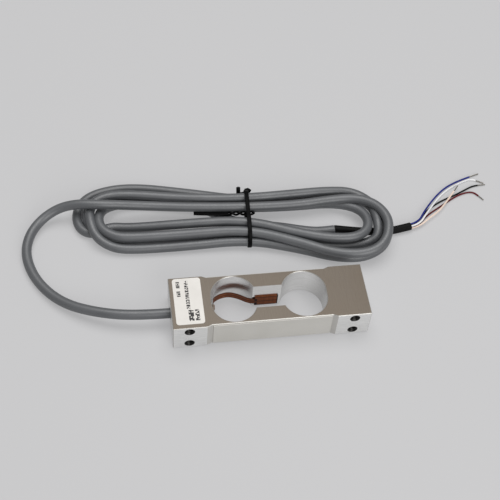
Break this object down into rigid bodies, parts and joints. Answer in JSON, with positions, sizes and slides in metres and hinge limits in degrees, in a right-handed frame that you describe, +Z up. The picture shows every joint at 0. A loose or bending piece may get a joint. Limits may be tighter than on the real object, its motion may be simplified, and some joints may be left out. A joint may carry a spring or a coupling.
{
  "type": "single point load cell",
  "caption": "Aluminium bending beam load cell with twin oval openings, raised tapped pads, and a tied hank of cable with bare conductors.",
  "frame": {"origin": "middle of the beam's footprint on the surface that it lies on, with the free cable left out", "axes": "+X along the beam away from the cable's end, +Y across the loaded depth towards the hank, +Z up through the thickness"},
  "size_m": [0.3414, 0.1392, 0.0222],
  "materials": {
    "beam": "satin ground faces, bright turned openings",
    "board": "brown flexible circuit",
    "seal": "matte",
    "label": "satin printed film",
    "cable_jacket": "satin grey jacket",
    "tie": "satin",
    "sleeve_black": "matte",
    "gauge": "foil on film",
    "cover_coat": "smooth matte coat",
    "wire_blue": "satin",
    "wire_white": "satin",
    "wire_black": "satin",
    "wire_cream": "satin",
    "wire_red": "satin",
    "tinned": "tinned strands"
  },
  "bodies": {
    "root": {"beam_body": "beam", "terminal_board": "board", "ribbon": "board", "core_tail": "sleeve_black", "entry_seal": "seal", "rating_label": "label", "cable_lead": "cable_jacket", "cable_hank": "cable_jacket", "hank_tie": "tie", "end_sleeve": "sleeve_black", "gauge_front_left": "gauge", "gauge_front_right": "gauge", "gauge_rear_left": "gauge", "gauge_rear_right": "gauge", "gauge_cover_front": "cover_coat", "gauge_cover_rear": "cover_coat", "wire_blue": "wire_blue", "tip_blue": "tinned", "wire_white": "wire_white", "tip_white": "tinned", "wire_black": "wire_black", "tip_black": "tinned", "wire_cream": "wire_cream", "tip_cream": "tinned", "wire_red": "wire_red", "tip_red": "tinned"}
  },
  "joints": []
}
